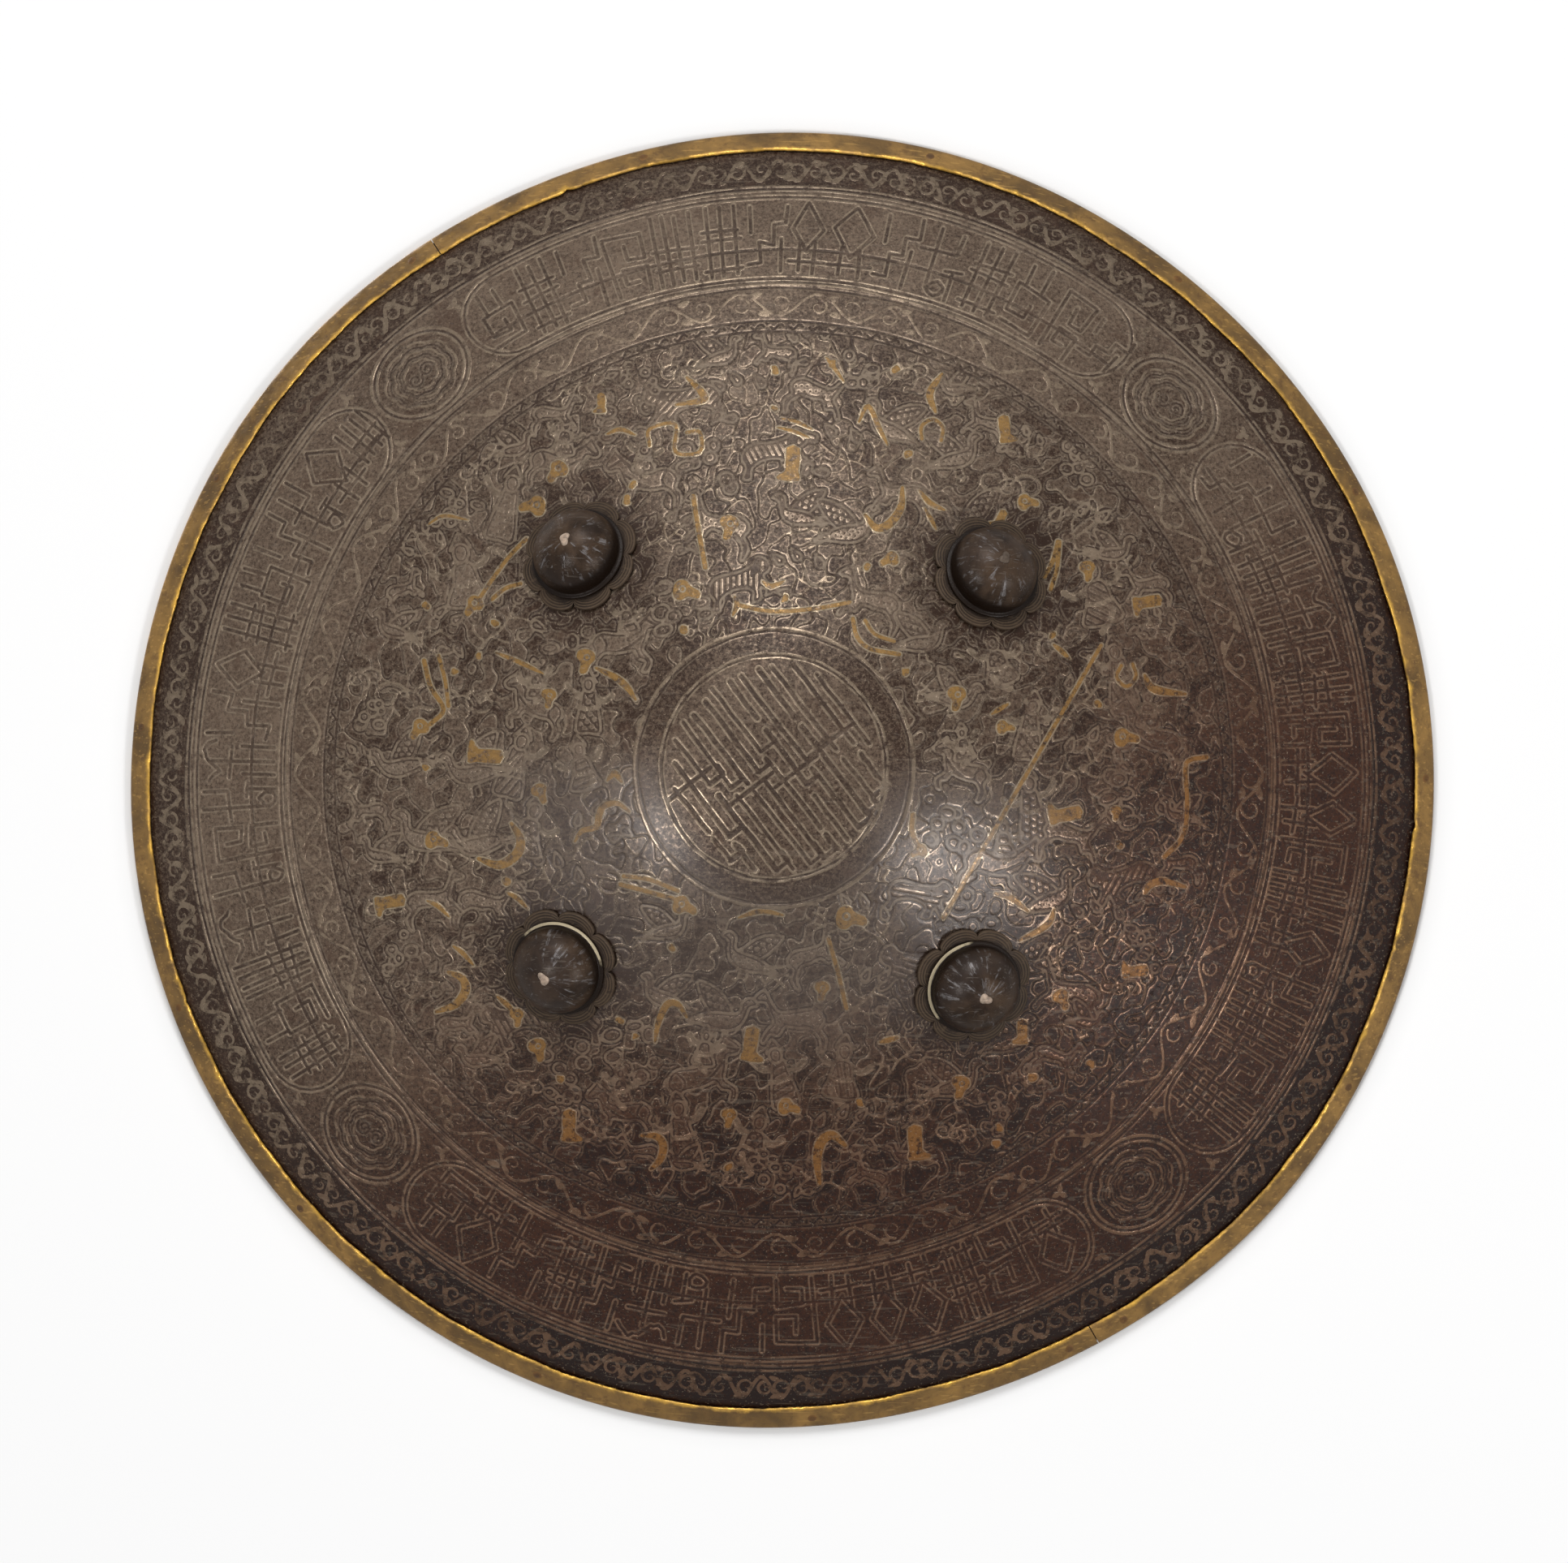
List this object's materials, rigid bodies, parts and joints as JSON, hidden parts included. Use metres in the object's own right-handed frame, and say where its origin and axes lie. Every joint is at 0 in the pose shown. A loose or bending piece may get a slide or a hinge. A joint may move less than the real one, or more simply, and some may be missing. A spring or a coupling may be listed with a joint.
{
  "type": "round hand shield",
  "caption": "Round dished steel shield with a brass-bound rim, domed bosses on lobed rosettes, and ring-hung swinging grips, lining and knuckle cushion behind.",
  "frame": {"origin": "centre of the rim circle on the plane that the rim rests on", "axes": "+Z out of the convex face, +Y towards the top of the face, +X to the right of someone who faces it"},
  "size_m": [0.47, 0.47, 0.0993],
  "materials": {
    "etched_steel": "dark brown etched steel, hand worked, with rubbed pale relief and dull gold inlay",
    "brass_rim": "hammered brass sheet with brown patina, rubbed bright on the edges",
    "rivet_iron": "dark iron, filed flush",
    "rosette_iron": "dark brown sheet iron",
    "boss_steel": "blue-brown polished steel with fine scratches",
    "forged_iron": "forged iron, darkened",
    "grip_leather": "stitched brown leather, worn",
    "lining_cloth": "quilted dull red cotton",
    "cushion_velvet": "dark red velvet, faded on the crown"
  },
  "bodies": {
    "shell": {"shield_plate": "etched_steel", "rim_binding_right": "brass_rim", "rim_binding_left": "brass_rim", "rim_rivet_01": "rivet_iron", "rim_rivet_02": "rivet_iron", "rim_rivet_03": "rivet_iron", "rim_rivet_04": "rivet_iron", "rim_rivet_05": "rivet_iron", "rim_rivet_06": "rivet_iron", "rim_rivet_07": "rivet_iron", "rim_rivet_08": "rivet_iron", "rim_rivet_09": "rivet_iron", "rim_rivet_10": "rivet_iron", "rim_rivet_11": "rivet_iron", "rim_rivet_12": "rivet_iron", "rim_rivet_13": "rivet_iron", "rim_rivet_14": "rivet_iron", "rim_rivet_15": "rivet_iron", "rosette_upper_right": "rosette_iron", "boss_upper_right": "boss_steel", "stud_upper_right": "forged_iron", "washer_upper_right": "rosette_iron", "rosette_upper_left": "rosette_iron", "boss_upper_left": "boss_steel", "stud_upper_left": "forged_iron", "washer_upper_left": "rosette_iron", "rosette_lower_left": "rosette_iron", "boss_lower_left": "boss_steel", "stud_lower_left": "forged_iron", "washer_lower_left": "rosette_iron", "rosette_lower_right": "rosette_iron", "boss_lower_right": "boss_steel", "stud_lower_right": "forged_iron", "washer_lower_right": "rosette_iron", "lining": "lining_cloth", "knuckle_cushion": "cushion_velvet"},
    "ring_upper_right": {"ring_upper_right": "forged_iron"},
    "ring_lower_right": {"ring_lower_right": "forged_iron"},
    "grip_right": {"grip_right": "grip_leather"},
    "ring_upper_left": {"ring_upper_left": "forged_iron"},
    "ring_lower_left": {"ring_lower_left": "forged_iron"},
    "grip_left": {"grip_left": "grip_leather"}
  },
  "joints": [
    {"name": "ring_upper_right_swing", "type": "hinge", "parent": "shell", "child": "ring_upper_right", "pos_m": [0.06705, 0.06705, 0.05875], "axis": [0, -1, 0], "range_deg": [-80, 60]},
    {"name": "ring_lower_right_swing", "type": "hinge", "parent": "shell", "child": "ring_lower_right", "pos_m": [0.06705, -0.06705, 0.05875], "axis": [0, -1, 0], "range_deg": [-80, 60]},
    {"name": "grip_right_swing", "type": "hinge", "parent": "ring_upper_right", "child": "grip_right", "pos_m": [0.06705, 0.06705, 0.03275], "axis": [0, -1, 0], "range_deg": [-45, 45]},
    {"name": "ring_upper_left_swing", "type": "hinge", "parent": "shell", "child": "ring_upper_left", "pos_m": [-0.06705, 0.06705, 0.05875], "axis": [0, 1, 0], "range_deg": [-80, 60]},
    {"name": "ring_lower_left_swing", "type": "hinge", "parent": "shell", "child": "ring_lower_left", "pos_m": [-0.06705, -0.06705, 0.05875], "axis": [0, 1, 0], "range_deg": [-80, 60]},
    {"name": "grip_left_swing", "type": "hinge", "parent": "ring_upper_left", "child": "grip_left", "pos_m": [-0.06705, 0.06705, 0.03275], "axis": [0, 1, 0], "range_deg": [-45, 45]}
  ],
  "couplings": [
    {"joint": "ring_lower_right_swing", "follows": "ring_upper_right_swing", "ratio": 1},
    {"joint": "ring_lower_left_swing", "follows": "ring_upper_left_swing", "ratio": 1}
  ]
}
